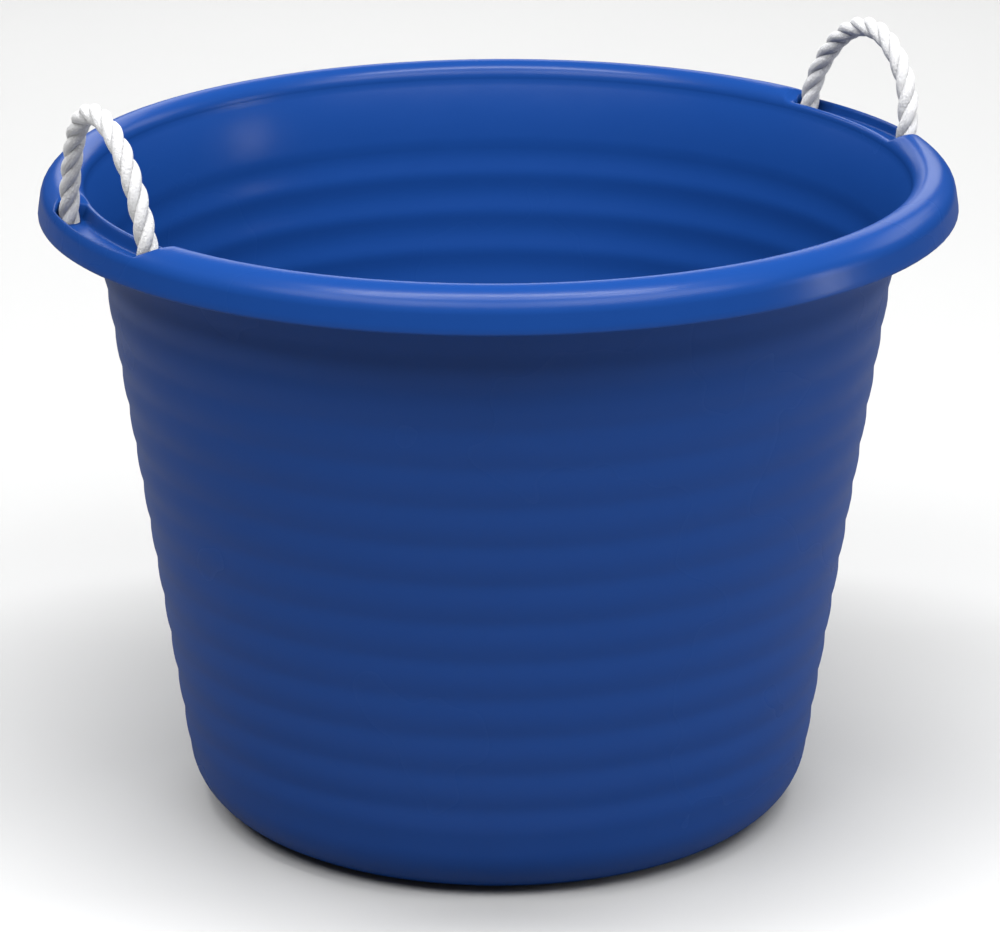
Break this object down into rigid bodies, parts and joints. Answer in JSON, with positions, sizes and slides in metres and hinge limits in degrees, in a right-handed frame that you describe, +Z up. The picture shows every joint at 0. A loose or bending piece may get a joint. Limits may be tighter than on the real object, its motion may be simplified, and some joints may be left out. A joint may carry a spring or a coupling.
{
  "type": "rope-handled feed tub",
  "caption": "Round tapered moulded plastic feed tub with a rolled rim, rippled wall and two short twisted-rope carrying handles that flop over.",
  "frame": {"origin": "on the ground under the centre of the tub's base", "axes": "+Z up along the tub's axis; the two rope handles stand over the X axis, left at -X and right at +X; front is -Y"},
  "size_m": [0.5699, 0.57, 0.4831],
  "materials": {
    "tub_plastic": "satin moulded polyethylene, royal blue",
    "rope": "white three-strand twisted rope"
  },
  "bodies": {
    "tub": {"tub": "tub_plastic"},
    "left_rope_ends": {"left_rope_leg_front": "rope", "left_rope_leg_back": "rope", "left_rope_stop_front": "rope", "left_rope_stop_back": "rope"},
    "left_rope_loop": {"left_rope_loop": "rope"},
    "right_rope_ends": {"right_rope_leg_front": "rope", "right_rope_leg_back": "rope", "right_rope_stop_front": "rope", "right_rope_stop_back": "rope"},
    "right_rope_loop": {"right_rope_loop": "rope"}
  },
  "joints": [
    {"name": "left_rope_pull", "type": "slide", "parent": "tub", "child": "left_rope_ends", "axis": [0, 0, 1], "range_m": [0, 0.0015]},
    {"name": "left_rope_flop", "type": "hinge", "parent": "left_rope_ends", "child": "left_rope_loop", "pos_m": [-0.26521, 0, 0.414], "axis": [0, -1, 0], "range_deg": [-75, 75], "stiffness_Nm_per_rad": 0.1},
    {"name": "right_rope_pull", "type": "slide", "parent": "tub", "child": "right_rope_ends", "axis": [0, 0, 1], "range_m": [0, 0.0015]},
    {"name": "right_rope_flop", "type": "hinge", "parent": "right_rope_ends", "child": "right_rope_loop", "pos_m": [0.26587, 0, 0.414], "axis": [0, 1, 0], "range_deg": [-75, 75], "stiffness_Nm_per_rad": 0.1}
  ]
}
